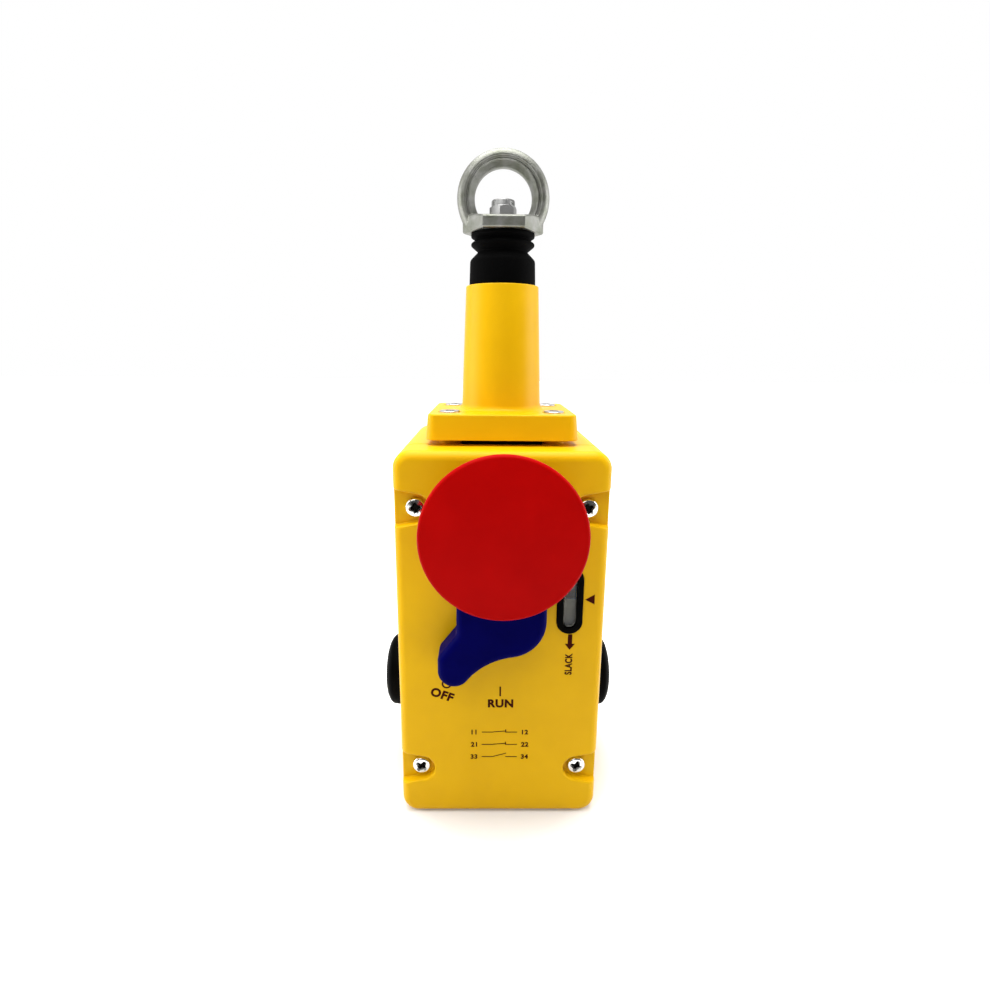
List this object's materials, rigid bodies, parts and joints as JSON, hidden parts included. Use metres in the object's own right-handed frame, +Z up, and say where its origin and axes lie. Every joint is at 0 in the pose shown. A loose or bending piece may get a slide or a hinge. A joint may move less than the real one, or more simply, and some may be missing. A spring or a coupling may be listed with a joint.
{
  "type": "rope pull switch",
  "caption": "Rope pull emergency-stop switch: yellow cast housing with pull head and spring-loaded eye, red mushroom button, blue reset handle and tension window.",
  "frame": {"origin": "bottom centre of the whole switch, on the surface it stands on", "axes": "+Z up along the pull shaft, +Y towards the mounting face at the back, +X to the right seen from the front"},
  "size_m": [0.109, 0.1102, 0.2751],
  "materials": {
    "yellow_enamel": "smooth yellow enamel on cast metal",
    "red_plastic": "glossy moulded red",
    "blue_plastic": "glossy moulded dark blue",
    "black_plastic": "matt moulded black",
    "black_rubber": "soft black rubber",
    "cast_eye": "as cast, dull grey",
    "bright_steel": "bright zinc plate",
    "turned_steel": "turned or pressed steel",
    "brass": "plain brass",
    "ivory_plastic": "moulded thermoset",
    "clear_lens": "clear moulded lens"
  },
  "bodies": {
    "housing": {"rear_housing": "yellow_enamel", "front_cover": "yellow_enamel", "pull_head": "yellow_enamel", "window_bezel": "black_plastic", "conduit_plugs": "black_plastic", "cover_seal": "black_rubber", "head_gasket": "black_rubber", "shaft_seal": "black_rubber", "bellows": "black_rubber", "handle_seal": "black_rubber", "plug_seals": "black_rubber", "cover_screws": "bright_steel", "head_screws": "turned_steel", "spring_washer": "turned_steel", "main_spring": "turned_steel", "guide_screws": "turned_steel", "mechanism_plate": "turned_steel", "plate_screws": "turned_steel", "latch_guide_pins": "turned_steel", "estop_spring": "turned_steel", "block_screws": "turned_steel", "contact_spring_left": "turned_steel", "contact_spring_right": "turned_steel", "terminal_clamps": "turned_steel", "earth_clamp": "turned_steel", "shaft_bush": "brass", "plate_spacers": "brass", "spindle_bush": "brass", "fixed_contacts": "brass", "terminal_screws": "brass", "earth_screw": "brass", "lower_guide": "ivory_plastic", "estop_block": "ivory_plastic", "contact_block_left": "ivory_plastic", "contact_block_right": "ivory_plastic", "window_lens": "clear_lens"},
    "pull_rod": {"pull_shaft": "turned_steel", "eye_nut": "cast_eye", "lock_nut": "bright_steel", "spring_collar": "turned_steel", "shaft_circlip": "turned_steel", "cam_slider": "ivory_plastic", "slider_pin": "turned_steel", "slack_indicator": "turned_steel"},
    "handle": {"reset_handle": "blue_plastic", "handle_grub_screw": "turned_steel", "reset_spindle": "turned_steel", "spindle_cam": "ivory_plastic", "cam_pin": "turned_steel", "spindle_circlip": "turned_steel"},
    "button": {"estop_button": "red_plastic", "estop_plunger": "turned_steel", "estop_circlip": "turned_steel", "estop_bridge": "brass"},
    "latch": {"trip_latch": "turned_steel"},
    "contact_left": {"contact_plunger_left": "red_plastic", "contact_bridge_left": "brass"},
    "contact_right": {"contact_plunger_right": "red_plastic", "contact_bridge_right": "brass"}
  },
  "joints": [
    {"name": "pull", "type": "slide", "parent": "housing", "child": "pull_rod", "axis": [0, 0, 1], "range_m": [0, 0.01], "stiffness_N_per_m": 6000, "springref_m": -0.005, "deforming": ["bellows", "main_spring"]},
    {"name": "handle_turn", "type": "hinge", "parent": "housing", "child": "handle", "pos_m": [0, -0.0269, 0.134], "axis": [0, -1, 0], "range_deg": [0, 17.5]},
    {"name": "button_push", "type": "slide", "parent": "housing", "child": "button", "axis": [0, 1, 0], "range_m": [0, 0.004], "stiffness_N_per_m": 2000, "springref_m": -0.003, "deforming": ["estop_spring"]},
    {"name": "latch_slide", "type": "slide", "parent": "housing", "child": "latch", "axis": [0, 0, -1], "range_m": [0, 0.004]},
    {"name": "contact_left_slide", "type": "slide", "parent": "housing", "child": "contact_left", "axis": [-1, 0, 0], "range_m": [0, 0.003], "deforming": ["contact_spring_left"]},
    {"name": "contact_right_slide", "type": "slide", "parent": "housing", "child": "contact_right", "axis": [1, 0, 0], "range_m": [0, 0.003], "deforming": ["contact_spring_right"]}
  ],
  "couplings": [
    {"joint": "latch_slide", "follows": "handle_turn", "m_per_rad": 0.013},
    {"joint": "contact_left_slide", "follows": "pull", "ratio": 0.3},
    {"joint": "contact_right_slide", "follows": "pull", "ratio": 0.3}
  ]
}
